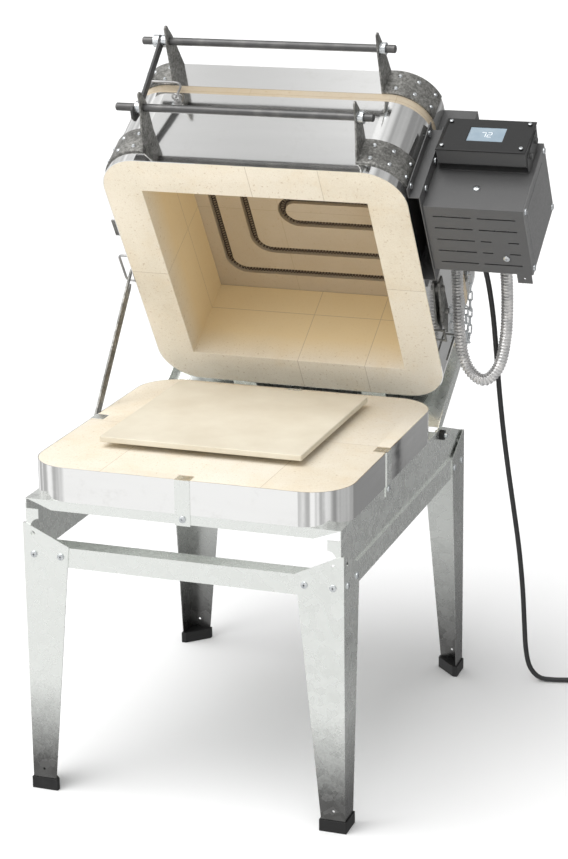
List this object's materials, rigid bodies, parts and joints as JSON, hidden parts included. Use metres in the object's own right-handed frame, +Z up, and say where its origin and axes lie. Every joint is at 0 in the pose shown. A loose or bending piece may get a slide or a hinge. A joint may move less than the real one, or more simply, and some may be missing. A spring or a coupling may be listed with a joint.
{
  "type": "bead annealing kiln",
  "caption": "Front-loading firebrick kiln on a sheet steel stand, hinged chamber and lid, side control box, prop bar, handles and power cord.",
  "frame": {"origin": "on the floor, under the middle of the object's box without its free cord", "axes": "+X to the right of a user at the front, +Y to the rear, +Z up"},
  "size_m": [0.872, 0.7448, 1.0831],
  "materials": {
    "zinc_sheet": "galvanised, faint spangle",
    "polished_steel": "polished stainless",
    "firebrick": "matt porous insulating brick, cream",
    "cordierite": "matt fired clay, beige",
    "raw_steel": "mottled hot-rolled steel",
    "rod_steel": "dark drawn steel",
    "bright_zinc": "bright zinc plate",
    "black_cap": "black moulded plastic",
    "box_paint": "dark grey textured powder coat",
    "head_paint": "black satin",
    "screen": "blue grey, smooth",
    "board": "green circuit board",
    "pale_plastic": "off-white moulding",
    "ceramic": "off-white ceramic",
    "heat_wire": "oxidised resistance wire",
    "conduit_zinc": "interlocked metal hose",
    "cord_black": "satin black"
  },
  "bodies": {
    "stand": {"leg_front_left": "zinc_sheet", "leg_front_right": "zinc_sheet", "leg_rear_left": "zinc_sheet", "leg_rear_right": "zinc_sheet", "foot_caps": "black_cap", "front_rail": "zinc_sheet", "rear_rail": "zinc_sheet", "platform": "zinc_sheet", "stand_screws": "bright_zinc", "hinge_bushes": "black_cap", "base_brick": "firebrick", "base_jacket": "polished_steel", "base_clips": "zinc_sheet", "kiln_shelf": "cordierite", "shelf_posts": "ceramic", "prop_pivot": "bright_zinc"},
    "prop": {"prop_bar": "raw_steel"},
    "chamber": {"chamber_brick": "firebrick", "chamber_jacket": "polished_steel", "back_plate": "zinc_sheet", "hinge_pins": "bright_zinc", "chamber_brackets": "raw_steel", "chamber_rod": "rod_steel", "chamber_collars": "bright_zinc", "chamber_rivets": "bright_zinc", "prop_loop": "rod_steel", "side_brackets": "raw_steel", "latch_eye": "bright_zinc", "box_stand_off": "box_paint", "heat_shield": "box_paint", "control_box": "box_paint", "box_cover": "box_paint", "box_screws": "bright_zinc", "display_bracket": "head_paint", "display_head": "head_paint", "display_plate": "head_paint", "display_screen": "screen", "control_board": "board", "power_relay": "pale_plastic", "terminal_block": "pale_plastic", "thermocouple": "ceramic", "flexible_conduit": "conduit_zinc", "stay_chain": "bright_zinc", "strain_relief": "cord_black", "power_cord": "cord_black", "cord_coil": "cord_black", "cord_tie": "cord_black", "power_plug": "cord_black"},
    "lid": {"lid_brick": "firebrick", "lid_jacket": "polished_steel", "heating_element": "heat_wire", "lid_brackets": "raw_steel", "lid_rod": "rod_steel", "lid_collars": "bright_zinc", "lid_rivets": "bright_zinc", "lid_hinge_arms": "raw_steel", "lid_terminal_box": "box_paint"},
    "latch": {"latch_bar": "head_paint"},
    "hook": {"latch_hook": "rod_steel"}
  },
  "joints": [
    {"name": "chamber_hinge", "type": "hinge", "parent": "stand", "child": "chamber", "pos_m": [-0.0739, 0.13785, 0.4443], "axis": [-1, 0, 0], "range_deg": [-57.4, 0]},
    {"name": "prop_hinge", "type": "hinge", "parent": "stand", "child": "prop", "pos_m": [-0.3259, -0.11115, 0.446], "axis": [-1, 0, 0], "range_deg": [-38, 0]},
    {"name": "lid_hinge", "type": "hinge", "parent": "chamber", "child": "lid", "pos_m": [-0.0739, 0.32336, 0.56887], "axis": [-1, 0, 0], "range_deg": [0, 95]},
    {"name": "latch_swing", "type": "hinge", "parent": "lid", "child": "latch", "pos_m": [-0.2539, 0.05041, 1.05785], "axis": [1, 0, 0], "range_deg": [0, 10]},
    {"name": "hook_swing", "type": "hinge", "parent": "lid", "child": "hook", "pos_m": [-0.2789, 0.06391, 1.00239], "axis": [0, -0.5388, 0.8425], "range_deg": [0, 6]}
  ],
  "couplings": [
    {"joint": "prop_hinge", "follows": "chamber_hinge", "ratio": 0.66}
  ]
}
